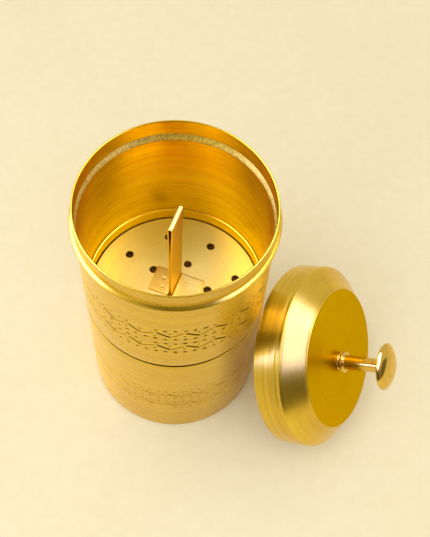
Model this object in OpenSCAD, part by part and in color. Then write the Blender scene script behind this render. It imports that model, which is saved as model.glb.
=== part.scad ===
// Brass drip coffee filter: a lower cup that catches the brew, an upper cup
// with a perforated floor that nests in its mouth, a loose perforated presser
// with a folded strip handle, and a capped lid with a turned knob.
// Millimetres, +Z up. Origin on the table at the centre of the lower cup.
// The lid stands on its rim beside the cups and leans on them.

/* [Cups] */
// Outside radius of both cup bodies
body_r = 36.7; // [30:0.1:45]
// Wall thickness of the lower cup
lower_wall = 0.8; // [0.7:0.1:0.8]
// Wall thickness of the upper cup
upper_wall = 0.9; // [0.7:0.1:1.2]
// Thickness of the lower cup's base
base_t = 1.2; // [1:0.1:2]
// Height of the seam between the cups
seam_z = 68; // [64:0.5:72]
// Height of the upper cup's rim
rim_z = 128; // [120:0.5:140]
// Length of the spigot that nests in the lower cup
spigot_len = 8.1; // [7.5:0.1:10]
// Wall thickness of the spigot
spigot_wall = 0.7; // [0.6:0.1:0.8]
// Radial running clearance of the spigot in the lower cup
spigot_play = 0.07; // [0.04:0.01:0.1]

/* [Neck] */
// Outside radius of the neck round the mouth
neck_r = 36.9; // [36.6:0.05:37.2]
// Wall thickness of the neck
neck_wall = 0.75; // [0.7:0.05:0.9]
// Outside radius of the swaged bead under the neck
bead_r = 38.3; // [38:0.05:38.5]
// Height of the rim above the bead's middle
bead_drop = 8.3; // [7:0.1:10]

/* [Strainer and presser] */
// Thickness of the perforated floor
strainer_t = 0.8; // [0.6:0.1:1]
// Radius of each strainer hole
strainer_hole_r = 0.7; // [0.4:0.05:1]
// Rings of strainer holes
strainer_rings = 6; // [3:1:6]
// Radial gap round the presser disc
presser_gap = 0.33; // [0.3:0.01:1]
// Thickness of the presser disc
presser_t = 1.0; // [0.8:0.1:1.2]
// Radius of each presser hole
presser_hole_r = 1.65; // [1:0.05:2]
// Holes in the presser's outer ring
outer_holes = 8; // [4:1:10]
// Radius of the presser's outer ring of holes
outer_ring_r = 25.5; // [22:0.5:28]
// Holes in the presser's inner ring
inner_holes = 5; // [3:1:6]
// Radius of the presser's inner ring of holes
inner_ring_r = 13.2; // [12:0.1:15]

/* [Presser handle] */
// Thickness of the handle strip
strip_t = 0.6; // [0.5:0.05:0.8]
// Width of the handle strip
strip_w = 11.4; // [8:0.1:14]
// Height of the fold above the presser disc
handle_h = 52.4; // [40:0.1:56]
// Length of each foot from the handle's middle plane
foot_len = 10.2; // [8:0.1:12]
// Turn of the handle about the vertical
handle_turn = -20.9; // [-90:0.1:90]

/* [Lid] */
// Outside radius of the lid's skirt
lid_r = 38.5; // [38.3:0.1:39]
// Height of the skirt up to the shoulder bead
skirt_h = 11.2; // [9:0.1:13]
// Overall height of the lid without its knob
lid_h = 19.3; // [17:0.1:22]
// Radius of the lid's flat top
lid_top_r = 29.2; // [26:0.1:32]
// Sheet thickness of the lid
lid_t = 0.75; // [0.6:0.05:0.8]
// How far the lid's axis leans up from level
lid_tilt = 29.66; // [20:0.01:40]
// Direction of the lid round the cups
lid_turn = -21.62; // [-60:0.01:60]
// Distance of the lid rim's centre along X
lid_x = 54.05; // [53.9:0.05:70]
// Distance of the lid rim's centre along Y
lid_y = -15.79; // [-30:0.01:-15]

/* [Knob] */
// Radius of the knob's head
knob_r = 9.7; // [7:0.1:11]
// Radius of the stem beside its flange
stem_r = 3.1; // [2.2:0.05:3.4]
// Length of the knob from its ferrule to the crown
knob_len = 21.7; // [16:0.1:24]
// Radius of the ferrule under the knob
ferrule_r = 4.2; // [4:0.1:5]
// Radius of the flange at the foot of the stem
flange_r = 4.6; // [4:0.1:5]
// How far the knob is set off the lid's centre, downhill
knob_dx = 0.7; // [0:0.1:1]
// How far the knob is set off the lid's centre, sideways
knob_dy = -1.3; // [-1.5:0.1:0]

/* [Hidden] */
$fn = 96;
lower_ri = body_r - lower_wall;
spigot_ro = lower_ri - spigot_play;
spigot_ri = spigot_ro - spigot_wall;
upper_ri = body_r - upper_wall;
neck_ri = neck_r - neck_wall;
bead_z = rim_z - bead_drop;
spigot_z = seam_z - spigot_len;
strainer_z = spigot_z + 0.6;
presser_z = strainer_z + strainer_t + 0.3;
presser_top = presser_z + presser_t;
ferrule_h = 2.3;
knob_z = lid_h + ferrule_h;
lid_z = lid_r * cos(lid_tilt) + 0.05;

brass = [0.86, 0.68, 0.32];
bright_brass = [0.93, 0.76, 0.42];

// points of an arc from a0 to a1 degrees
function arc(cx, cy, r, a0, a1, n = 6) =
    [for (i = [0:n]) let (a = a0 + (a1 - a0) * i / n)
        [cx + r * cos(a), cy + r * sin(a)]];

// straight-sided vessel with a flat base and softened edges
module lower_cup() color(brass)
    rotate_extrude(convexity = 6)
        polygon(concat(
            [[0, 0]],
            arc(body_r - 1.4, 1.4, 1.4, -90, 0),
            arc(body_r - 0.25, seam_z - 0.55, 0.25, 0, 90, 4),
            arc(lower_ri + 0.2, seam_z - 0.5, 0.2, 90, 180, 4),
            arc(lower_ri - 1.2, base_t + 1.2, 1.2, 0, -90),
            [[0, base_t]]));

// open tube: spigot below, plain body, then a swaged bead that stops the
// lid's skirt, hollow inside with a sloping ledge, and a plain neck above
module upper_cup() color(brass)
    rotate_extrude(convexity = 8)
        polygon(concat(
            [[spigot_ri, spigot_z], [spigot_ro - 0.3, spigot_z],
             [spigot_ro, spigot_z + 0.3], [spigot_ro, seam_z - 0.3]],
            [[spigot_ro + 0.25, seam_z], [body_r - 0.2, seam_z],
             [body_r, seam_z + 0.2], [body_r, bead_z - 2.8]],
            [[bead_r - 0.15, bead_z - 0.7], [bead_r, bead_z - 0.2],
             [bead_r, bead_z + 0.15], [bead_r - 0.15, bead_z + 0.5]],
            [[neck_r + 0.05, bead_z + 1.3], [neck_r, bead_z + 1.5]],
            arc(neck_r - 0.35, rim_z - 0.35, 0.35, 0, 90, 4),
            arc(neck_ri + 0.35, rim_z - 0.35, 0.35, 90, 180, 4),
            [[neck_ri, bead_z + 0.85], [bead_r - 0.95, bead_z + 0.1],
             [bead_r - 0.8, bead_z - 0.2], [bead_r - 0.95, bead_z - 0.6]],
            [[upper_ri, bead_z - 2.75],
             [upper_ri, seam_z + 0.9], [spigot_ri, seam_z + 0.3]]));

// one ring of holes along Z
module ring(n, r, hole_r, h, start = 0)
    for (i = [0:n - 1]) rotate([0, 0, start + 360 * i / n])
        translate([r, 0, -1]) cylinder(r = hole_r, h = h + 2, $fn = 24);

// perforated floor soldered into the spigot
module strainer_plate() color(brass)
    translate([0, 0, strainer_z]) difference() {
        cylinder(r = spigot_ri - 0.03, h = strainer_t);
        translate([0, 0, -1]) cylinder(r = strainer_hole_r, h = strainer_t + 2, $fn = 24);
        for (k = [1:strainer_rings])
            ring(6 * k, 5.2 * k, strainer_hole_r, strainer_t, 7 * k);
    }

// loose disc that holds the grounds down; the hole spacing is hand-set
module presser_disc() color(brass)
    translate([0, 0, presser_z]) difference() {
        cylinder(r = spigot_ri - presser_gap, h = presser_t);
        for (i = [0:outer_holes - 1])
            rotate([0, 0, 12 + (i < 4 ? 42.4 : 45.8) * i - (i < 4 ? 0 : 10)])
                translate([outer_ring_r, 0, -1])
                    cylinder(r = presser_hole_r, h = presser_t + 2, $fn = 32);
        for (i = [0:inner_holes - 1])
            rotate([0, 0, 67 * i + (i < 3 ? 0 : 8)])
                translate([inner_ring_r, 0, -1])
                    cylinder(r = presser_hole_r, h = presser_t + 2, $fn = 32);
        translate([-2.8, -4.2, -1]) cylinder(r = presser_hole_r, h = presser_t + 2, $fn = 32);
    }

// hairpin strip, open at the fold and closed below, with a foot each way
module presser_handle() {
    t = strip_t;
    g = 0.05;
    w = 1.15;
    top = handle_h - w;
    right = concat(
        [[foot_len + 0.5, 0], [foot_len + 0.5, t]],
        arc(g + t + 1, t + 1, 1, -90, -180, 5),
        [[g + t, handle_h * 0.62]],
        arc(0, top, w, 0, 90, 6));
    left_out = [for (i = [len(right) - 2:-1:0]) [-right[i][0] + (i < 2 ? 0.9 : 0), right[i][1]]];
    inner_left = concat(
        arc(-g - t - 1, t + 1, t + 1, -90, 0, 5),
        [[-g, handle_h * 0.62]],
        arc(0, top, w - t, 180, 90, 5));
    inner_right = [for (i = [len(inner_left) - 2:-1:0]) [-inner_left[i][0], inner_left[i][1]]];
    color(bright_brass)
        translate([0, 0, presser_top])
            rotate([0, 0, handle_turn])
                translate([-0.95, 7.8, 0])
                    rotate([90, 0, 0])
                        linear_extrude(height = strip_w, convexity = 8)
                            polygon(concat(right, left_out, inner_left, inner_right));
}

// places a lid part, drawn about its own axis, leaning against the cups
module on_lid()
    translate([lid_x, lid_y, lid_z])
        rotate([0, 0, lid_turn]) rotate([0, 90 - lid_tilt, 0]) children();

// places a part of the knob, which is fitted slightly off the lid's centre
module on_knob() on_lid() translate([knob_dx, knob_dy, 0]) children();

// cap: plain skirt, groove and bead at the shoulder, cone, flat top
module lid_shell() color(brass) {
    ri = lid_r - lid_t;
    on_lid() difference() {
        rotate_extrude(convexity = 6)
            polygon(concat(
                [[0, lid_h - lid_t],
                 [lid_top_r - 0.8, lid_h - lid_t],
                 [lid_r - lid_t - 1.1, skirt_h + 0.6],
                 [ri, skirt_h - 0.6],
                 [ri, 0.2], [ri + 0.2, 0]],
                arc(lid_r - 0.3, 0.3, 0.3, -90, 0, 4),
                [[lid_r - 0.05, skirt_h - 1.9],
                 [lid_r - 0.25, skirt_h - 1.3],
                 [lid_r - 0.28, skirt_h - 0.9]],
                arc(lid_r - 0.95, skirt_h, 0.8, -45, 60, 6),
                [[lid_r - 0.95, skirt_h + 1.15]],
                arc(lid_top_r - 0.1, lid_h - 0.8, 0.8, 50, 90, 4),
                [[0, lid_h]]));
        translate([knob_dx, knob_dy, lid_h - 3]) cylinder(r = 1.7, h = 5, $fn = 32);
    }
}

// domed ferrule with a waist, between the lid and the knob
module knob_ferrule() color(bright_brass)
    on_knob() translate([0, 0, lid_h])
        rotate_extrude()
            polygon(concat(
                [[1.7, 0], [ferrule_r - 0.2, 0], [ferrule_r, 0.3]],
                arc(ferrule_r - 1, 0.8, 1, 0, 80, 6),
                [[ferrule_r - 0.95, ferrule_h], [1.7, ferrule_h]]));

// turned stem on a flange, flaring into a domed disc, drilled for its screw
module knob() color(bright_brass) {
    on_knob() translate([0, 0, knob_z]) difference() {
        rotate_extrude()
            polygon(concat(
                [[0, 0], [flange_r - 0.15, 0], [flange_r, 0.15],
                 [flange_r, 0.6], [flange_r - 0.15, 0.75],
                 [stem_r + 0.1, 0.95], [stem_r, 1.3]],
                [[stem_r - 0.25, knob_len - 6.5]],
                [for (i = [1:6]) let (f = i / 6)
                    [stem_r - 0.25 + (knob_r - stem_r - 0.1) * f * f,
                     knob_len - 6.5 + 3.2 * (1 - (1 - f) * (1 - f))]],
                arc(knob_r - 0.4, knob_len - 2.9, 0.4, -60, 30, 5),
                [for (i = [1:8]) let (f = 1 - i / 8)
                    [(knob_r - 0.15) * f, knob_len - 2.6 + 2.6 * (1 - pow(f, 3))]]));
        translate([0, 0, -1]) cylinder(r = 1.55, h = 9, $fn = 32);
    }
}

// round-headed screw from inside the lid into the knob
module knob_screw() color(brass)
    on_knob() {
        translate([0, 0, lid_h - lid_t - 1.6])
            difference() {
                rotate_extrude()
                    polygon(concat([[0, 0]], arc(2.0, 1.0, 1.0, -90, 0, 5), [[3.0, 1.58], [0, 1.58]]));
                translate([-4, -0.4, -1]) cube([8, 0.8, 1.7]);
            }
        translate([0, 0, lid_h - lid_t - 0.1]) cylinder(r = 1.5, h = lid_t + ferrule_h + 7.4, $fn = 32);
    }

lower_cup();
upper_cup();
strainer_plate();
presser_disc();
presser_handle();
lid_shell();
knob_ferrule();
knob();
knob_screw();
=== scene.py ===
import math
import bpy
import bmesh
import numpy as np
from mathutils import Matrix, Vector


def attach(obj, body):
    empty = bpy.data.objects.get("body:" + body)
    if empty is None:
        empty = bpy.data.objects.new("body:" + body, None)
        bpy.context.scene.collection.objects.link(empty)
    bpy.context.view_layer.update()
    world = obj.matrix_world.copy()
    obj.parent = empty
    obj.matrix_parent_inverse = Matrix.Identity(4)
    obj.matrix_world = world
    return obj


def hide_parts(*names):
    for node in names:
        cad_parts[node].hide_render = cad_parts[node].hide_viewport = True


# Brass drip coffee filter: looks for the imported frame.

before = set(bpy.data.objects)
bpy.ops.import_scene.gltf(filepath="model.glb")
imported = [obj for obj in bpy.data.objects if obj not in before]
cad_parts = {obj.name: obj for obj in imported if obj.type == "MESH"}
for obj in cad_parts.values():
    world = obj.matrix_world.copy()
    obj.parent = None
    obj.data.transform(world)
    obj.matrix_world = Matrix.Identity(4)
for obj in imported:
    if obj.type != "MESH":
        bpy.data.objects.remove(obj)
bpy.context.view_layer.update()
scene = bpy.context.scene
MM = 0.001

# ---------------------------------------------------------------- sizes (mm)
BODY_R = 36.7
LOWER_RI = 35.9
UPPER_RI = 35.8
NECK_R, NECK_RI = 36.9, 36.15
BEAD_R, BEAD_Z = 38.29, 119.7
SPIG_RO, SPIG_RI = 35.83, 35.13
SEAM, RIM = 68.0, 128.0
SPIG_Z = 59.9
PRESS_Z, PRESS_TOP = 61.6, 62.6
PRESS_R = 34.8
LID_R, LID_T = 38.49, 0.75
SKIRT_H, LID_H, LID_TOP_R = 11.2, 19.3, 29.2
TILT, TURN = math.radians(29.66), math.radians(-21.62)
LID_C = Vector((54.05, -15.79, 38.5 * math.cos(TILT) + 0.05)) * MM
FERR_R, FERR_H = 4.2, 2.3
KNOB_R, STEM_R, KNOB_LEN, FLANGE_R = 9.65, 3.1, 21.68, 4.6
KNOB_DX, KNOB_DY = 0.7, -1.3

LID_M = (Matrix.Translation(LID_C) @ Matrix.Rotation(TURN, 4, 'Z')
         @ Matrix.Rotation(math.pi / 2 - TILT, 4, 'Y'))
KNOB_M = LID_M @ Matrix.Translation((KNOB_DX * MM, KNOB_DY * MM, 0))


# ---------------------------------------------------------------- camera
def camera():
    c, s = math.cos, math.sin
    yaw, pitch, roll = math.radians(5.13), math.radians(61.12), math.radians(4.87)
    fwd = Vector((s(yaw) * c(pitch), c(yaw) * c(pitch), -s(pitch)))
    right = Vector((c(yaw), -s(yaw), 0))
    up = right.cross(fwd)
    r2 = right * c(roll) + up * s(roll)
    u2 = -right * s(roll) + up * c(roll)
    m = Matrix((r2, u2, -fwd)).transposed().to_4x4()
    m.translation = Vector((0, -0.17422, 0.39809))
    data = bpy.data.cameras.new("view")
    data.sensor_width = 36
    data.lens = 913.95 * 36 / 537
    data.clip_start = 0.01
    ob = bpy.data.objects.new("view", data)
    ob.matrix_world = m
    scene.collection.objects.link(ob)
    scene.camera = ob


camera()


# ---------------------------------------------------------------- mesh tools
def add_mesh(name, verts, faces, mat, matrix=None, smooth=True, sharp=None, attrs=None):
    me = bpy.data.meshes.new(name)
    me.from_pydata([tuple(v) for v in np.asarray(verts) * MM], [], faces)
    me.validate()
    if smooth:
        me.polygons.foreach_set("use_smooth", [True] * len(me.polygons))
    if sharp is not None:
        me.set_sharp_from_angle(angle=math.radians(sharp))
    for key, vals in (attrs or {}).items():
        a = me.attributes.new(key, 'FLOAT', 'POINT')
        a.data.foreach_set("value", np.asarray(vals, dtype=np.float32))
    me.materials.append(mat)
    ob = bpy.data.objects.new(name, me)
    scene.collection.objects.link(ob)
    if matrix is not None:
        ob.matrix_world = matrix
    return ob


def arc(cx, cy, r, a0, a1, n=8):
    t = np.radians(np.linspace(a0, a1, n + 1))
    return [(cx + r * math.cos(x), cy + r * math.sin(x)) for x in t]


def densify(pts, step):
    out = [pts[0]]
    for a, b in zip(pts[:-1], pts[1:]):
        k = max(1, int(math.ceil(math.dist(a, b) / step)))
        out += [(a[0] + (b[0] - a[0]) * i / k, a[1] + (b[1] - a[1]) * i / k)
                for i in range(1, k + 1)]
    return out


def rings(profile, n, closed=True):
    """verts and faces of a lathe: profile runs so that the outside is on its right."""
    verts, faces, idx = [], [], []
    th = np.linspace(0, 2 * np.pi, n, endpoint=False)
    cs, sn = np.cos(th), np.sin(th)
    for r, z in profile:
        if r < 1e-6:
            idx.append([len(verts)])
            verts.append((0, 0, z))
        else:
            idx.append(list(range(len(verts), len(verts) + n)))
            verts += list(zip(r * cs, r * sn, np.full(n, z)))
    m = len(profile)
    for k in range(m if closed else m - 1):
        a, b = idx[k], idx[(k + 1) % m]
        if len(a) == 1 and len(b) == 1:
            continue
        for i in range(n):
            j = (i + 1) % n
            if len(a) == 1:
                faces.append((a[0], b[j], b[i]))
            elif len(b) == 1:
                faces.append((a[i], a[j], b[0]))
            else:
                faces.append((a[i], a[j], b[j], b[i]))
    return verts, faces


def lathe(name, profile, mat, n=256, matrix=None, sharp=35, closed=True):
    v, f = rings(profile, n, closed)
    v = np.asarray(v)
    if matrix is not None:
        m = np.array(matrix)
        v = v @ m[:3, :3].T + m[:3, 3] / MM
    return add_mesh(name, v, f, mat, sharp=sharp)


# ---------------------------------------------------------------- engraving
def engrave(nper, peak_deg, ztop, cols, z_rows, seed, force):
    """depth in mm on a (rows, cols) grid round the body, and how dark each cut is."""
    rng = np.random.default_rng(seed)
    circ = 2 * math.pi * BODY_R
    ds = circ / cols
    per = circ / nper
    s0 = math.radians(peak_deg) * BODY_R
    zs = np.asarray(z_rows)
    depth = np.zeros((len(zs), cols))
    dark = np.zeros((len(zs), cols))

    def stamp(x0, x1, z0, z1, fn):
        i0, i1 = int(math.floor(x0 / ds)) - 1, int(math.ceil(x1 / ds)) + 1
        rr = np.where((zs >= z0) & (zs <= z1))[0]
        if len(rr) == 0:
            return
        ii = np.arange(i0, i1 + 1)
        S, Z = np.meshgrid(ii * ds, zs[rr])
        d, k = fn(S, Z)
        for c, col in enumerate(ii % cols):
            depth[rr, col] = np.maximum(depth[rr, col], d[:, c])
            dark[rr, col] = np.maximum(dark[rr, col], k[:, c])

    def dot(s, z, r, dep, dk):
        ax, az = r * rng.uniform(1.1, 1.5), r * rng.uniform(0.8, 1.0)

        def fn(S, Z):
            q = ((S - s) / ax) ** 2 + ((Z - z) / az) ** 2
            f = np.clip(1.25 - q, 0, 1)
            return dep * f ** 0.7, dk * np.clip(1.3 - q, 0, 1)
        stamp(s - 2 * ax, s + 2 * ax, z - 2 * az, z + 2 * az, fn)

    def stroke(sa, za, sb, zb, w, dep, dk, bow):
        def fn(S, Z):
            t = np.clip((S - sa) / (sb - sa), 0, 1)
            zc = za + (zb - za) * (t * t * (3 - 2 * t) * bow + t * (1 - bow))
            sl = abs(zb - za) / abs(sb - sa)
            dz = (Z - zc) / math.sqrt(1 + sl * sl)
            ex = np.maximum(0, np.maximum(sa - S, S - sb))
            q = (dz * dz + ex * ex) / (w * w)
            f = np.clip(1.15 - q, 0, 1)
            taper = np.clip(np.minimum(t, 1 - t) * 8 + 0.35, 0, 1)
            return dep * f ** 0.7 * taper, dk * np.clip(1.2 - q, 0, 1) * taper
        stamp(sa - 1, sb + 1, min(za, zb) - 1.5, max(za, zb) + 1.5, fn)

    J = lambda a: rng.normal(0, a)
    for k in range(nper):
        p = s0 + k * per
        hard = 1.05 + 0.3 * force * max(0.0, math.cos(p / BODY_R + 0.6))
        for frac in (0.0, 0.33, 0.68):
            for dz in (0.0, -6.9, -10.8, -18.2):
                if rng.random() < 0.03:
                    continue
                r = (0.44 + abs(J(0.07))) * hard
                sx, zx = p + frac * per + J(0.12), ztop + dz + J(0.12)
                dot(sx, zx, r, 0.24 + abs(J(0.05)), 0.85 + J(0.1))
                if rng.random() < 0.25:
                    dot(sx + rng.choice([-0.75, 0.75]), zx + J(0.05), r * 0.7, 0.16, 0.5)
        for base in (0.0, -10.85):
            dot(p + 0.475 * per + J(0.15), ztop + base - 2.3 + J(0.1), 0.42, 0.26, 0.85)
            dot(p - 0.03 * per + J(0.15), ztop + base - 4.65 + J(0.1), 0.42, 0.26, 0.85)
            zp, zv = ztop + base - 2.25, ztop + base - 4.85
            # painted light: the rising stroke gets less painted shade than the falling one (0.55 against 1.0),
            # standing for the light the rising cuts catch
            stroke(p + 0.03 * per, zp + J(0.08), p + 0.5 * per, zv + J(0.08), 0.44 * hard, 0.24, 1.0, 0.75)
            stroke(p + 0.53 * per, zv + J(0.08), p + 0.95 * per, zp + J(0.08), 0.33 * hard, 0.20, 0.55, 0.6)
    wear = 1 - 0.5 * (1 - force) * (1 + np.sin(np.arange(cols) * 2 * np.pi * 4 / cols + seed))
    return depth * (0.55 + 0.45 * force), np.clip(dark * force * wear, 0, 1)


def cup(name, below, above, band_lo, band_hi, nper, peak, ztop, mats, seed, force):
    """closed lathe whose outer wall carries the engraved band between two heights."""
    cols, coarse = 1320, 264
    k = cols // coarse
    th_f = np.linspace(0, 2 * np.pi, cols, endpoint=False)
    th_c = th_f[::k]
    rows = np.linspace(band_lo, band_hi, int((band_hi - band_lo) / 0.185) + 1)
    dep, dark = engrave(nper, peak, ztop, cols, rows, seed, force)
    verts, att, faces = [], [], []

    def ring(r, z, th, d=0.0, a=0.0):
        base = len(verts)
        rr = r - (d if np.ndim(d) else np.full(len(th), d))
        verts.extend(zip(rr * np.cos(th), rr * np.sin(th), np.full(len(th), z)))
        att.extend(a if np.ndim(a) else [a] * len(th))
        return base

    def quads(a, b, n):
        for i in range(n):
            j = (i + 1) % n
            faces.append((a + i, a + j, b + j, b + i))

    lo = [ring(r, z, th_c) if r > 1e-6 else None for r, z in below]
    centre_lo = None
    if lo[0] is None:
        centre_lo = len(verts)
        verts.append((0, 0, below[0][1]))
        att.append(0.0)
    for i in range(len(below) - 1):
        if lo[i] is None:
            for q in range(coarse):
                faces.append((centre_lo, lo[1] + (q + 1) % coarse, lo[1] + q))
        else:
            quads(lo[i], lo[i + 1], coarse)
    band = [ring(BODY_R, z, th_f, dep[i], dark[i]) for i, z in enumerate(rows)]
    for i in range(len(rows) - 1):
        quads(band[i], band[i + 1], cols)
    for q in range(coarse):
        j = (q + 1) % coarse
        fine = [band[0] + (q * k + s) % cols for s in range(k, -1, -1)]
        faces.append(tuple([lo[-1] + q, lo[-1] + j] + fine))
    hi = [ring(r, z, th_c) if r > 1e-6 else None for r, z in above]
    for q in range(coarse):
        j = (q + 1) % coarse
        fine = [band[-1] + (q * k + s) % cols for s in range(0, k + 1)]
        faces.append(tuple(fine + [hi[0] + j, hi[0] + q]))
    for i in range(len(above) - 1):
        if hi[i + 1] is None:
            c = len(verts)
            verts.append((0, 0, above[-1][1]))
            att.append(0.0)
            for q in range(coarse):
                faces.append((hi[i] + q, hi[i] + (q + 1) % coarse, c))
        else:
            quads(hi[i], hi[i + 1], coarse)
    if hi[-1] is not None and lo[0] is not None:
        quads(hi[-1], lo[0], coarse)
    ob = add_mesh(name, verts, faces, mats[0], sharp=50, attrs={"cut": att})
    for m in mats[1:]:
        ob.data.materials.append(m)
    for p in ob.data.polygons:
        c, nn = p.center, p.normal
        r = math.hypot(c.x, c.y)
        if c.x * nn.x + c.y * nn.y < -1e-6 * r or (r < LOWER_RI * MM and nn.z > 0.5):
            p.material_index = 2 if len(mats) > 2 and 0.1168 < c.z < 0.1207 else 1
    return ob


# ---------------------------------------------------------------- materials
class N:
    """small helper for building node trees"""
    def __init__(self, name):
        self.m = bpy.data.materials.new(name)
        self.m.use_nodes = True
        self.t = self.m.node_tree
        self.bsdf = self.t.nodes["Principled BSDF"]

    def new(self, kind, **kw):
        n = self.t.nodes.new(kind)
        for k, v in kw.items():
            setattr(n, k, v)
        return n

    def link(self, a, b):
        self.t.links.new(a, b)

    def put(self, sock, v):
        if hasattr(v, "is_linked") or isinstance(v, bpy.types.NodeSocket):
            self.link(v, sock)
        else:
            sock.default_value = v

    def math(self, op, a, b=0.0, c=0.0, clamp=False):
        n = self.new("ShaderNodeMath", operation=op, use_clamp=clamp)
        for s, v in zip(n.inputs, (a, b, c)):
            self.put(s, v)
        return n.outputs[0]

    def noise(self, vec, scale, detail=3.0, rough=0.55, dist=0.0):
        n = self.new("ShaderNodeTexNoise")
        self.link(vec, n.inputs["Vector"])
        n.inputs["Scale"].default_value = scale
        n.inputs["Detail"].default_value = detail
        n.inputs["Roughness"].default_value = rough
        n.inputs["Distortion"].default_value = dist
        return n.outputs["Fac"]

    def mix(self, fac, a, b, mode='MIX'):
        n = self.new("ShaderNodeMix", data_type='RGBA', blend_type=mode)
        self.put(n.inputs["Factor"], fac)
        for s, v in ((n.inputs[6], a), (n.inputs[7], b)):
            self.put(s, v)
        return n.outputs[2]

    def ramp(self, fac, lo, hi, a=0.0, b=1.0):
        n = self.new("ShaderNodeMapRange", clamp=True)
        self.link(fac, n.inputs[0])
        for i, v in zip((1, 2, 3, 4), (lo, hi, a, b)):
            n.inputs[i].default_value = v
        return n.outputs[0]


def col(h):
    v = [int(h[i:i + 2], 16) / 255 for i in (0, 2, 4)]
    return tuple((x / 12.92 if x <= 0.04045 else ((x + 0.055) / 1.055) ** 2.4) for x in v) + (1.0,)


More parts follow.
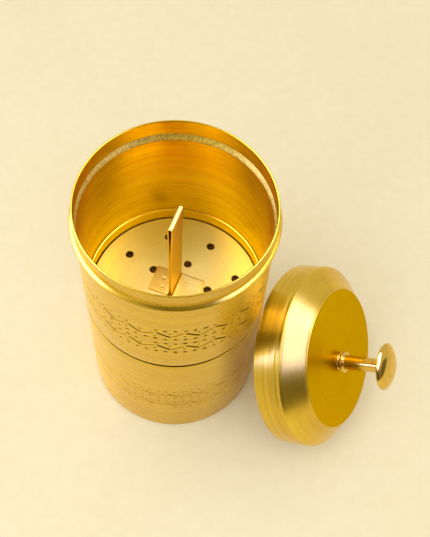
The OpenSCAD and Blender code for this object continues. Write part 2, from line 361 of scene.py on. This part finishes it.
def brass(name, light, dark, rough=(0.22, 0.34), aniso=0.7, line=2600.0, line_amt=0.6,
          bump=0.25, stain=0.25, engraved=False, around=60.0, straight=False, spots=0.3,
          painted_shade_band=None, painted_shade_amt=0.0, coat=0.0, coat_ior=1.7, coat_rough=0.22, grain=0.0,
          edge=(1.0, 0.86, 0.5), painted_foot_shade=False, place=None, metal=1.0):
    """turned brass: fine lines round the piece's own axis, slow tarnish and specks."""
    n = N(name)
    P = n.new("ShaderNodeTexCoord").outputs["Object"]
    if place is not None:
        mp = n.new("ShaderNodeMapping", vector_type='TEXTURE')
        n.link(P, mp.inputs["Vector"])
        mp.inputs["Location"].default_value = place.to_translation()
        mp.inputs["Rotation"].default_value = place.to_euler('XYZ')
        P = mp.outputs[0]
    sep = n.new("ShaderNodeSeparateXYZ")
    n.link(P, sep.inputs[0])
    x, y, z = sep.outputs
    if straight:
        comb = n.new("ShaderNodeCombineXYZ")
        n.link(n.math('MULTIPLY', x, 60.0), comb.inputs[0])
        n.link(n.math('MULTIPLY', y, line), comb.inputs[1])
        n.link(n.math('MULTIPLY', z, 60.0), comb.inputs[2])
    else:
        r = n.math('SQRT', n.math('ADD', n.math('MULTIPLY', x, x), n.math('MULTIPLY', y, y)))
        w = n.math('ADD', r, z)
        comb = n.new("ShaderNodeCombineXYZ")
        n.link(n.math('MULTIPLY', x, around), comb.inputs[0])
        n.link(n.math('MULTIPLY', y, around), comb.inputs[1])
        n.link(n.math('MULTIPLY', w, line), comb.inputs[2])
    fine = n.noise(comb.outputs[0], 1.0, 4.0, 0.65)
    comb2 = n.new("ShaderNodeVectorMath", operation='MULTIPLY')
    n.link(comb.outputs[0], comb2.inputs[0])
    comb2.inputs[1].default_value = (0.5, 0.5, 0.3)
    broad = n.noise(comb2.outputs[0], 1.0, 3.0, 0.6)
    lines = n.math('ADD', n.math('MULTIPLY', fine, 0.5), n.math('MULTIPLY', broad, 0.5))
    lines = n.ramp(lines, 0.36, 0.64)
    slow = n.noise(P, 26.0, 4.0, 0.6, 0.4)
    slow = n.ramp(slow, 0.35, 0.7)
    base = n.mix(n.ramp(lines, 0, 1, 1 - line_amt, 1.0), dark, light)
    base = n.mix(n.math('MULTIPLY', slow, stain), base, tuple(c * 0.72 for c in dark[:3]) + (1,))
    speck = n.noise(P, 900.0, 2.0, 0.5)
    speck = n.ramp(speck, 0.68, 0.76)
    base = n.mix(n.math('MULTIPLY', speck, spots), base, tuple(c * 0.35 for c in dark[:3]) + (1,))
    rg = n.ramp(n.math('ADD', n.math('MULTIPLY', lines, 0.7), n.math('MULTIPLY', slow, 0.3)),
                0.0, 1.0, rough[1], rough[0])
    if painted_foot_shade:
        # painted shade: one foot is coloured a darker orange gold, standing for how the light falls on that foot
        f = n.math('MULTIPLY', n.ramp(x, -0.0012, -0.0032), n.ramp(z, 0.0016, 0.0009))
        f = n.math('MULTIPLY', f, n.ramp(slow, 0.0, 1.0, 0.75, 1.0))
        base = n.mix(n.math('MULTIPLY', f, 0.7), base, col("d09a14"))
    if painted_shade_band is not None:
        # painted shade: a dark brown band held between two heights on the piece, used for the shade in the seam gap
        # between the cups
        lo, hi, soft, solid = painted_shade_band
        painted_shade_mask = n.math('MULTIPLY', n.ramp(z, lo - soft, lo), n.ramp(z, hi, hi + soft, 1.0, 0.0))
        patch = n.ramp(n.noise(P, 420.0, 4.0, 0.7), 0.42, 0.6, solid, 1.0)
        painted_shade_mask = n.math('MULTIPLY', painted_shade_mask, n.math('MULTIPLY', patch, painted_shade_amt))
        base = n.mix(painted_shade_mask, base, col("2e1804"))
        rg = n.math('ADD', rg, n.math('MULTIPLY', painted_shade_mask, 0.3))
    height = n.math('ADD', n.math('MULTIPLY', fine, 0.7), n.math('MULTIPLY', broad, 0.5))
    if grain:
        pits = n.noise(P, 1300.0, 3.0, 0.65)
        height = n.math('ADD', height, n.math('MULTIPLY', pits, grain))
        base = n.mix(n.math('MULTIPLY', n.ramp(pits, 0.45, 0.62), min(0.7, grain * 0.6)), base,
                     tuple(c * 0.45 for c in dark[:3]) + (1,))
    if engraved:
        at = n.new("ShaderNodeAttribute", attribute_name="cut")
        cut = at.outputs["Fac"]
        # painted shade: the engraved cuts are darkened to dark brown, standing for the shade in the stamped pits
        base = n.mix(n.ramp(cut, 0.05, 0.85), base, col("301804"))
        rg = n.math('ADD', rg, n.math('MULTIPLY', cut, 0.25))
        # no coat over the painted shade of the cuts and of the seam band, so it stays dark
        film = n.ramp(n.math('MAXIMUM', cut, painted_shade_mask), 0.0, 0.5, coat, 0.0)
        n.link(film, n.bsdf.inputs["Coat Weight"])
    n.link(base, n.bsdf.inputs["Base Color"])
    n.link(rg, n.bsdf.inputs["Roughness"])
    n.bsdf.inputs["Metallic"].default_value = metal
    n.bsdf.inputs["Specular Tint"].default_value = tuple(edge) + (1.0,)
    bp = n.new("ShaderNodeBump")
    bp.inputs["Strength"].default_value = bump
    bp.inputs["Distance"].default_value = 0.00007
    n.link(height, bp.inputs["Height"])
    n.link(bp.outputs[0], n.bsdf.inputs["Normal"])
    if coat:
        if not engraved:
            n.bsdf.inputs["Coat Weight"].default_value = coat
        n.bsdf.inputs["Coat IOR"].default_value = coat_ior
        n.bsdf.inputs["Coat Roughness"].default_value = coat_rough
    if aniso:
        n.bsdf.inputs["Anisotropic"].default_value = aniso
        n.bsdf.inputs["Anisotropic Rotation"].default_value = 0.25
        if place is None:
            tg = n.new("ShaderNodeTangent", direction_type='RADIAL', axis='Z')
        else:
            c = n.new("ShaderNodeCombineXYZ")
            n.link(n.math('MULTIPLY', y, -1.0), c.inputs[0])
            n.link(x, c.inputs[1])
            nm = n.new("ShaderNodeVectorMath", operation='NORMALIZE')
            n.link(c.outputs[0], nm.inputs[0])
            rt = n.new("ShaderNodeMapping", vector_type='VECTOR')
            n.link(nm.outputs[0], rt.inputs["Vector"])
            rt.inputs["Rotation"].default_value = place.to_euler('XYZ')
            tg = n.new("ShaderNodeVectorTransform", vector_type='VECTOR', convert_from='OBJECT',
                       convert_to='WORLD')
            n.link(rt.outputs[0], tg.inputs[0])
        n.link(tg.outputs[0], n.bsdf.inputs["Tangent"])
    return n.m


# the outer brass carries painted shade: a dark brown band in the seam gap between the two cups, held at 67.6 to 69.2
# mm
M_CUP = brass("cup_outer", col("efca1c"), col("d6a40e"), engraved=True, rough=(0.23, 0.36), aniso=0.86,
              bump=0.16, line=2200.0, around=22.0, painted_shade_band=(0.0676, 0.0692, 0.0001, 1.0), painted_shade_amt=1.0,
              coat=0.8, coat_ior=1.5, grain=0.3)
M_INNER = brass("cup_inner", col("f8dc38"), col("e0ae18"), rough=(0.17, 0.3), aniso=0.6, line=2400.0,
                bump=0.26, around=16.0, stain=0.2, line_amt=0.8, edge=(1.0, 0.85, 0.3))
M_LEDGE = brass("bead_inside", col("fbe464"), col("e2c040"), rough=(0.36, 0.5), aniso=0.0, line=2200.0,
                bump=0.6, around=30.0, stain=0.2, spots=0.8, grain=1.1, metal=0.75)
M_PLATE = brass("plate_turned", col("fbe870"), col("eece58"), rough=(0.4, 0.52), bump=0.08, aniso=0.6,
                line=3000.0, line_amt=0.3, spots=0.2, metal=0.75)
# the strip carries painted shade on the foot at negative x
M_STRIP = brass("strip_drawn", col("fce264"), col("e8c24c"), rough=(0.28, 0.4), straight=True,
                line=1600.0, aniso=0.0, bump=0.06, spots=0.15, grain=0.15, painted_foot_shade=True)
M_LID = brass("lid_turned", col("ebc828"), col("cea414"), rough=(0.3, 0.43), aniso=0.78, bump=0.25,
              line=2400.0, line_amt=0.8, coat=0.85, coat_ior=1.5, around=22.0, place=LID_M)
# painted light: a brighter, uncoated copy of the lid brass for the lid's inside, standing for the light that reaches
# it
M_LIDIN = brass("lid_inside", col("f8de40"), col("e4b61e"), rough=(0.2, 0.32), aniso=0.6, bump=0.26,
                line=2400.0, around=16.0, place=LID_M)
M_LIDTOP = brass("lid_satin", col("d2ac06"), col("c69c02"), rough=(0.36, 0.42), aniso=0.25, bump=0.12,
                 line_amt=0.25, stain=0.12, spots=0.5, edge=(0.85, 0.62, 0.08), place=LID_M)
# painted shade: the hidden strainer is coloured dark brown so that the presser's holes read as dark shade under the
# presser
M_STRAIN_SHADE = brass("strainer_painted_shade", col("6a4c1c"), col("38240a"), rough=(0.45, 0.6), bump=0.3, aniso=0.3, stain=0.6)
M_KNOB = brass("knob_turned", col("e8c44e"), col("c4962c"), rough=(0.07, 0.16), aniso=0.3,
               line=2000.0, bump=0.12, spots=0.5, coat=0.7, coat_ior=1.5, coat_rough=0.06, line_amt=0.7,
               place=KNOB_M)

# ---------------------------------------------------------------- cups
lower_below = ([(0, 0)] + [(r, 0) for r in (12, 24, 33)] + arc(BODY_R - 1.4, 1.4, 1.4, -90, 0, 8)
               + [(BODY_R, 8), (BODY_R, 16), (BODY_R, 20.9)])
lower_above = ([(BODY_R, 42.0), (BODY_R, 54), (BODY_R, 62)]
               + arc(BODY_R - 0.6, SEAM - 0.9, 0.6, 0, 90, 6)
               + arc(LOWER_RI + 0.2, SEAM - 0.5, 0.2, 90, 180, 5)
               + [(LOWER_RI, 55), (LOWER_RI, 40), (LOWER_RI, 20)]
               + arc(LOWER_RI - 1.2, 2.4, 1.2, 0, -90, 8) + [(24, 1.2), (12, 1.2), (0, 1.2)])
lower = cup("lower_cup_body", lower_below, lower_above, 21.1, 41.8, 22, -95.5, 40.4,
            (M_CUP, M_INNER), 5, 0.5)
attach(lower, "lower_cup")
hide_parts("lower_cup")

upper_below = ([(SPIG_RI, SPIG_Z), (SPIG_RO - 0.3, SPIG_Z)]
               + arc(SPIG_RO - 0.3, SPIG_Z + 0.3, 0.3, -90, 0, 4)
               + [(SPIG_RO, 64), (SPIG_RO, SEAM - 0.3), (SPIG_RO + 0.2, SEAM)]
               + arc(BODY_R - 0.5, SEAM + 0.5, 0.5, -90, 0, 5) + [(BODY_R, 74), (BODY_R, 80.9)])
upper_above = ([(BODY_R, 102.1), (BODY_R, 108), (BODY_R, 114), (BODY_R, BEAD_Z - 3.0)]
               + [(BODY_R + 0.03, BEAD_Z - 2.8), (BODY_R + 0.13, BEAD_Z - 2.6)]
               + [(BEAD_R - 0.19, BEAD_Z - 0.75), (BEAD_R - 0.07, BEAD_Z - 0.45),
                  (BEAD_R - 0.01, BEAD_Z - 0.15), (BEAD_R - 0.01, BEAD_Z + 0.12),
                  (BEAD_R - 0.07, BEAD_Z + 0.34), (BEAD_R - 0.2, BEAD_Z + 0.52)]
               + [(BEAD_R - 0.75, BEAD_Z + 0.86), (NECK_R + 0.16, BEAD_Z + 1.22),
                  (NECK_R + 0.06, BEAD_Z + 1.31), (NECK_R + 0.01, BEAD_Z + 1.45)]
               + [(NECK_R, BEAD_Z + 1.7), (NECK_R, 124), (NECK_R, 127)]
               + arc(NECK_R - 0.35, RIM - 0.35, 0.35, 0, 90, 6)
               + arc(NECK_RI + 0.35, RIM - 0.35, 0.35, 90, 180, 6)
               + [(NECK_RI, 127), (NECK_RI, 124), (NECK_RI, BEAD_Z + 1.1), (NECK_RI + 0.03, BEAD_Z + 0.9)]
               + [(NECK_RI + 0.15, BEAD_Z + 0.76), (BEAD_R - 0.98, BEAD_Z + 0.13),
                  (BEAD_R - 0.84, BEAD_Z - 0.02), (BEAD_R - 0.8, BEAD_Z - 0.2), (BEAD_R - 0.86, BEAD_Z - 0.42)]
               + [(BEAD_R - 1.0, BEAD_Z - 0.66), (UPPER_RI + 0.75, BEAD_Z - 1.71), (UPPER_RI + 0.12, BEAD_Z - 2.58),
                  (UPPER_RI + 0.02, BEAD_Z - 2.8)]
               + [(UPPER_RI, z) for z in (116, 112, 104, 96, 88, 80, 73)]
               + [(UPPER_RI, SEAM + 1.0)] + arc(SPIG_RI + 0.35, SEAM + 0.85, 0.32, -10, -90, 3)
               + arc(SPIG_RI + 0.3, SEAM + 0.2, 0.3, 90, 180, 4)
               + [(SPIG_RI, 64), (SPIG_RI, 61.5)])
upper = cup("upper_cup_body", upper_below, upper_above, 81.1, 101.9, 21, -101.2, 100.45,
            (M_CUP, M_INNER, M_LEDGE), 11, 1.0)
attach(upper, "upper_cup")
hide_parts("upper_cup")


# ---------------------------------------------------------------- presser
def perforated_disc(name, R, z0, z1, holes, ch, mat):
    """flat disc with softened rim and softened holes"""
    bm = bmesh.new()

    def circle(cx, cy, r, z, n):
        return [bm.verts.new((cx + r * math.cos(2 * math.pi * i / n),
                              cy + r * math.sin(2 * math.pi * i / n), z)) for i in range(n)]

    def loop(vs):
        return [bm.edges.new((vs[i], vs[(i + 1) % len(vs)])) for i in range(len(vs))]

    specs = [(0, 0, R, 192, 1)] + [(x, y, r, 40, -1) for x, y, r in holes]
    top, bot = [], []
    for cx, cy, r, n, sg in specs:
        levels = [(r - sg * (ch + 0.12), z1), (r - sg * ch, z1), (r - sg * ch * 0.3, z1 - ch * 0.3),
                  (r, z1 - ch), (r, z0 + ch), (r - sg * ch * 0.3, z0 + ch * 0.3), (r - sg * ch, z0),
                  (r - sg * (ch + 0.12), z0)]
        cs = [circle(cx, cy, rr, zz, n) for rr, zz in levels]
        for a, b in zip(cs[:-1], cs[1:]):
            for i in range(n):
                j = (i + 1) % n
                q = (a[i], b[i], b[j], a[j]) if sg > 0 else (a[i], a[j], b[j], b[i])
                bm.faces.new(q)
        bm.edges.ensure_lookup_table()
        top += [bm.edges.get((cs[0][i], cs[0][(i + 1) % n])) for i in range(n)]
        bot += [bm.edges.get((cs[-1][i], cs[-1][(i + 1) % n])) for i in range(n)]
    bmesh.ops.triangle_fill(bm, edges=top, use_beauty=True, normal=(0, 0, 1))
    bmesh.ops.triangle_fill(bm, edges=bot, use_beauty=True, normal=(0, 0, -1))
    bmesh.ops.recalc_face_normals(bm, faces=bm.faces)
    me = bpy.data.meshes.new(name)
    for v in bm.verts:
        v.co *= MM
    bm.to_mesh(me)
    bm.free()
    me.polygons.foreach_set("use_smooth", [True] * len(me.polygons))
    me.set_sharp_from_angle(angle=math.radians(50))
    me.materials.append(mat)
    ob = bpy.data.objects.new(name, me)
    scene.collection.objects.link(ob)
    return ob


holes = []
for i in range(8):
    a = math.radians(12 + (42.4 if i < 4 else 45.8) * i - (0 if i < 4 else 10))
    holes.append((25.5 * math.cos(a), 25.5 * math.sin(a), 1.65))
for i in range(5):
    a = math.radians(67 * i + (0 if i < 3 else 8))
    holes.append((13.2 * math.cos(a), 13.2 * math.sin(a), 1.65))
holes.append((-2.8, -4.2, 1.65))
disc = perforated_disc("presser_plate", PRESS_R, PRESS_Z, PRESS_TOP, holes, 0.12, M_PLATE)
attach(disc, "presser")
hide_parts("presser_disc")


def strip_handle():
    """folded strip: swept section with rounded edges, and weld dents in its feet"""
    t, W = 0.6, 11.4
    hh = 52.4
    path = densify([(10.7, 0.3), (1.65, 0.3)], 0.35)
    path += arc(1.65, 1.6, 1.3, -90, -180, 8)[1:]
    path += densify([(0.35, 1.6), (0.35, hh * 0.62)], 1.2)[1:]
    path += densify([(0.35, hh * 0.62), (0.85, hh - 1.15)], 1.2)[1:]
    path += arc(0, hh - 1.15, 0.85, 0, 180, 16)[1:]
    path += densify([(-0.85, hh - 1.15), (-0.35, hh * 0.62)], 1.2)[1:]
    path += densify([(-0.35, hh * 0.62), (-0.35, 1.6)], 1.2)[1:]
    path += arc(-1.65, 1.6, 1.3, 0, -90, 8)[1:]
    path += densify([(-1.65, 0.3), (-9.8, 0.3)], 0.35)[1:]
    P = np.array(path)
    T = np.gradient(P, axis=0)
    T /= np.linalg.norm(T, axis=1)[:, None]
    Nn = np.c_[T[:, 1], -T[:, 0]]
    e = 0.14
    ws = np.concatenate([[0, 0.03, 0.14], np.linspace(0.5, W - 0.5, 30), [W - 0.14, W - 0.03, W]])
    th = np.full(len(ws), t / 2)
    th[[0, -1]] = t / 2 - e
    th[[1, -2]] = t / 2 - e * 0.35
    verts, faces = [], []
    dents = [(-6.3 + 0.95, 4.6, 0.8), (-5.6 + 0.95, 8.6, 0.75)]

    def row(i, sgn):
        out = []
        c, nn = P[i], Nn[i]
        end = 1.0 if 0 < i < len(P) - 1 else 0.55
        for w, h in zip(ws, th):
            d = h * end
            x, z = c + sgn * nn * d
            if sgn * nn[1] > 0.7 and c[1] < 1.0:
                for dx, dw, dr in dents:
                    q = ((x - dx) ** 2 + (w - dw) ** 2) / (dr * dr)
                    z -= 0.12 * math.exp(-q * 2.2) - 0.03 * math.exp(-(math.sqrt(q) - 1.25) ** 2 * 9)
            out.append(len(verts))
            verts.append((x, -w, z))
        return out

    upp = [row(i, 1) for i in range(len(P))]
    low = [row(i, -1) for i in range(len(P))]
    m = len(ws)
    for i in range(len(P) - 1):
        for j in range(m - 1):
            faces.append((upp[i][j], upp[i + 1][j], upp[i + 1][j + 1], upp[i][j + 1]))
            faces.append((low[i][j], low[i][j + 1], low[i + 1][j + 1], low[i + 1][j]))
        faces.append((upp[i][0], low[i][0], low[i + 1][0], upp[i + 1][0]))
        faces.append((upp[i][-1], upp[i + 1][-1], low[i + 1][-1], low[i][-1]))
    for j in range(m - 1):
        faces.append((upp[0][j], upp[0][j + 1], low[0][j + 1], low[0][j]))
        faces.append((upp[-1][j], low[-1][j], low[-1][j + 1], upp[-1][j + 1]))
    mat = (Matrix.Translation((0, 0, PRESS_TOP * MM)) @ Matrix.Rotation(math.radians(-20.9), 4, 'Z')
           @ Matrix.Translation((-0.95 * MM, 7.8 * MM, 0)))
    ob = add_mesh("presser_strip", verts, faces, M_STRIP, mat, sharp=60)
    bm = bmesh.new()
    bm.from_mesh(ob.data)
    bmesh.ops.recalc_face_normals(bm, faces=bm.faces)
    bm.to_mesh(ob.data)
    bm.free()
    return ob


strip = strip_handle()
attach(strip, "presser")
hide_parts("presser_handle")

# ---------------------------------------------------------------- lid
ri = LID_R - LID_T
lid_prof = ([(0, LID_H - LID_T), (12, LID_H - LID_T), (LID_TOP_R - 1.6, LID_H - LID_T)]
            + [(LID_TOP_R - 0.8, LID_H - LID_T - 0.15)]
            + [(LID_R - LID_T - 1.25, SKIRT_H + 0.75), (LID_R - LID_T - 0.75, SKIRT_H + 0.3),
               (ri - 0.15, SKIRT_H - 0.3), (ri, SKIRT_H - 0.8)]
            + [(ri, 8), (ri, 4), (ri, 0.25)] + arc(ri + 0.2, 0.2, 0.2, 180, 270, 4)
            + arc(LID_R - 0.3, 0.3, 0.3, -90, 0, 5)
            + [(LID_R - 0.02, 4), (LID_R - 0.04, 7.5), (LID_R - 0.06, SKIRT_H - 2.0)]
            + [(LID_R - 0.14, SKIRT_H - 1.65), (LID_R - 0.27, SKIRT_H - 1.35),
               (LID_R - 0.32, SKIRT_H - 1.1), (LID_R - 0.28, SKIRT_H - 0.85)]
            + arc(LID_R - 0.95, SKIRT_H, 0.8, -42, 60, 12)
            + [(LID_R - 0.72, SKIRT_H + 0.85), (LID_R - 0.9, SKIRT_H + 1.1)]
            + [(LID_R - 1.15, SKIRT_H + 1.3)]
            + [(36.1, 13.35), (33.6, 15.4), (31.2, 17.35)]
            + [(LID_TOP_R + 0.55, LID_H - 0.72)] + arc(LID_TOP_R - 0.1, LID_H - 0.6, 0.6, 20, 90, 6)
            + [(LID_TOP_R - 1.5, LID_H), (20, LID_H), (12, LID_H), (5, LID_H), (0, LID_H)])
lid = lathe("lid_cap", lid_prof, M_LID, n=320, matrix=LID_M, sharp=30)
lid.data.materials.append(M_LIDTOP)
lid.data.materials.append(M_LIDIN)
to_lid = LID_M.inverted()
for p in lid.data.polygons:
    if p.index < 10 * 320:
        p.material_index = 2
    if (to_lid @ p.center).z > (LID_H - 0.02) * MM:
        p.material_index = 1
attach(lid, "lid")
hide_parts("lid_shell")

ferr_prof = ([(1.7, LID_H), (FERR_R - 0.2, LID_H), (FERR_R - 0.05, LID_H + 0.08), (FERR_R, LID_H + 0.3)]
             + arc(FERR_R - 1, LID_H + 0.8, 1.0, 0, 80, 12)
             + [(FERR_R - 0.93, LID_H + 1.85), (FERR_R - 0.96, LID_H + 2.0),
                (FERR_R - 0.95, LID_H + FERR_H), (1.7, LID_H + FERR_H)])
ferr = lathe("knob_collar", ferr_prof, M_KNOB, n=96, matrix=KNOB_M, sharp=50)
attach(ferr, "lid")
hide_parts("knob_ferrule")

kz = LID_H + FERR_H
knob_prof = ([(1.55, kz), (FLANGE_R - 0.18, kz), (FLANGE_R - 0.05, kz + 0.05), (FLANGE_R, kz + 0.16),
              (FLANGE_R, kz + 0.58), (FLANGE_R - 0.05, kz + 0.69), (FLANGE_R - 0.18, kz + 0.75)]
             + [(STEM_R + 0.4, kz + 0.8), (STEM_R + 0.1, kz + 0.95), (STEM_R + 0.02, kz + 1.15),
                (STEM_R, kz + 1.4), (STEM_R - 0.12, kz + 7), (STEM_R - 0.25, kz + KNOB_LEN - 6.5)])
for i in range(1, 15):
    f = i / 14
    knob_prof.append((STEM_R - 0.25 + (KNOB_R - STEM_R - 0.1) * f * f,
                      kz + KNOB_LEN - 6.5 + 3.2 * (1 - (1 - f) ** 2)))
knob_prof += [(x, z + kz) for x, z in arc(KNOB_R - 0.4, KNOB_LEN - 2.9, 0.4, -60, 30, 10)]
for i in range(1, 25):
    f = 1 - i / 24
    knob_prof.append(((KNOB_R - 0.15) * f, kz + KNOB_LEN - 2.6 + 2.6 * (1 - f ** 3)))
knob_in = [(0, kz + 8.0), (1.55, kz + 8.0)]
knob = lathe("knob_turning", knob_prof + knob_in, M_KNOB, n=160, matrix=KNOB_M, sharp=50)
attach(knob, "lid")
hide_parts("knob")

# ---------------------------------------------------------------- kept CAD pieces
for name, mat in (("strainer_plate", M_STRAIN_SHADE), ("knob_screw", M_KNOB)):
    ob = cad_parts[name]
    if not ob.material_slots:
        ob.data.materials.append(mat)
    for s in ob.material_slots:
        s.link = 'OBJECT'
        s.material = mat


# ---------------------------------------------------------------- stage and light
def paper():
    n = N("paper")
    tc = n.new("ShaderNodeTexCoord")
    a = n.ramp(n.noise(tc.outputs["Object"], 9.0, 5.0, 0.6, 0.6), 0.3, 0.7)
    b = n.ramp(n.noise(tc.outputs["Object"], 160.0, 4.0, 0.6), 0.3, 0.7)
    base = n.mix(a, col("f2ead6"), col("f6f0e2"))
    base = n.mix(n.math('MULTIPLY', b, 0.3), base, col("e9dfc6"))
    n.link(base, n.bsdf.inputs["Base Color"])
    n.bsdf.inputs["Roughness"].default_value = 0.8
    n.bsdf.inputs["Specular IOR Level"].default_value = 0.0
    return n.m


fl = bpy.data.meshes.new("floor")
fl.from_pydata([(-3, -3, -0.0002), (3, -3, -0.0002), (3, 3, -0.0002), (-3, 3, -0.0002)], [], [(0, 1, 2, 3)])
floor = bpy.data.objects.new("floor", fl)
fl.materials.append(paper())
scene.collection.objects.link(floor)

world = bpy.data.worlds.new("studio")
scene.world = world
world.use_nodes = True
wt = world.node_tree
bg = wt.nodes["Background"]
tcw = wt.nodes.new("ShaderNodeTexCoord")


def patch(direction, lo, hi, amount):
    """a soft round dark patch of the room, 1 at its middle"""
    d = wt.nodes.new("ShaderNodeVectorMath")
    d.operation = 'DOT_PRODUCT'
    wt.links.new(tcw.outputs["Generated"], d.inputs[0])
    d.inputs[1].default_value = Vector(direction).normalized()
    m = wt.nodes.new("ShaderNodeMapRange")
    m.interpolation_type = 'SMOOTHSTEP'
    for k, v in zip((1, 2, 3, 4), (lo, hi, 0.0, amount)):
        m.inputs[k].default_value = v
    wt.links.new(d.outputs["Value"], m.inputs[0])
    return m.outputs[0]


dark_room = None
for spec in (((0.30, -0.90, 0.24), 0.66, 0.90, 1.0), ((0.966, -0.26, 0.02), 0.90, 0.955, 0.9),
             ((-0.20, -0.50, 0.84), 0.925, 0.98, 1.0), ((0.30, 0.50, 0.80), 0.90, 0.98, 0.6)):
    one = patch(*spec)
    if dark_room is None:
        dark_room = one
    else:
        mx = wt.nodes.new("ShaderNodeMath")
        mx.operation = 'MAXIMUM'
        wt.links.new(dark_room, mx.inputs[0])
        wt.links.new(one, mx.inputs[1])
        dark_room = mx.outputs[0]
wmix = wt.nodes.new("ShaderNodeMix")
wmix.data_type = 'RGBA'
wmix.inputs[6].default_value = (0.80, 0.73, 0.56, 1)
wmix.inputs[7].default_value = (0.13, 0.11, 0.08, 1)
wt.links.new(dark_room, wmix.inputs["Factor"])
wt.links.new(wmix.outputs[2], bg.inputs["Color"])
bg.inputs["Strength"].default_value = 1.0


def area(name, az, el, dist, sx, sy, radiance, color=(1, 0.97, 0.92), at=(0.02, 0, 0.06)):
    """soft box seen from the object at an azimuth and height, of a given brightness"""
    a, e = math.radians(az), math.radians(el)
    loc = Vector(at) + dist * Vector((math.cos(e) * math.cos(a), math.cos(e) * math.sin(a), math.sin(e)))
    d = bpy.data.lights.new(name, 'AREA')
    d.shape = 'RECTANGLE'
    d.size, d.size_y = sx, sy
    d.energy = radiance * math.pi * sx * sy
    d.color = color
    ob = bpy.data.objects.new(name, d)
    scene.collection.objects.link(ob)
    v = Vector(at) - loc
    ob.matrix_world = Matrix.Translation(loc) @ v.to_track_quat('-Z', 'Y').to_matrix().to_4x4()
    return ob


# soft boxes seen in the metal
for ob in (area("softbox_right", -12, 43, 1.2, 1.25, 0.46, 3.6, (0.98, 1.02, 3.6)),
           area("softbox_left", 176, 30, 1.2, 1.1, 0.85, 4.2, (0.96, 1.04, 3.3)),
           area("top_left", 150, 62, 1.15, 0.85, 0.5, 4.8, (1.0, 0.98, 2.4)),
           area("top_right", 36, 62, 1.15, 0.85, 0.5, 3.8, (1.0, 0.98, 2.4))):
    ob.visible_diffuse = False
# soft overhead light on the table
for ob in (area("overhead", 95, 78, 1.4, 1.5, 1.5, 0.26, (1.0, 0.96, 0.78)),
           area("front_fill", -108, 58, 1.3, 1.7, 1.4, 1.65, (1.0, 0.97, 0.82))):
    ob.visible_glossy = False

scene.view_settings.view_transform = 'Standard'
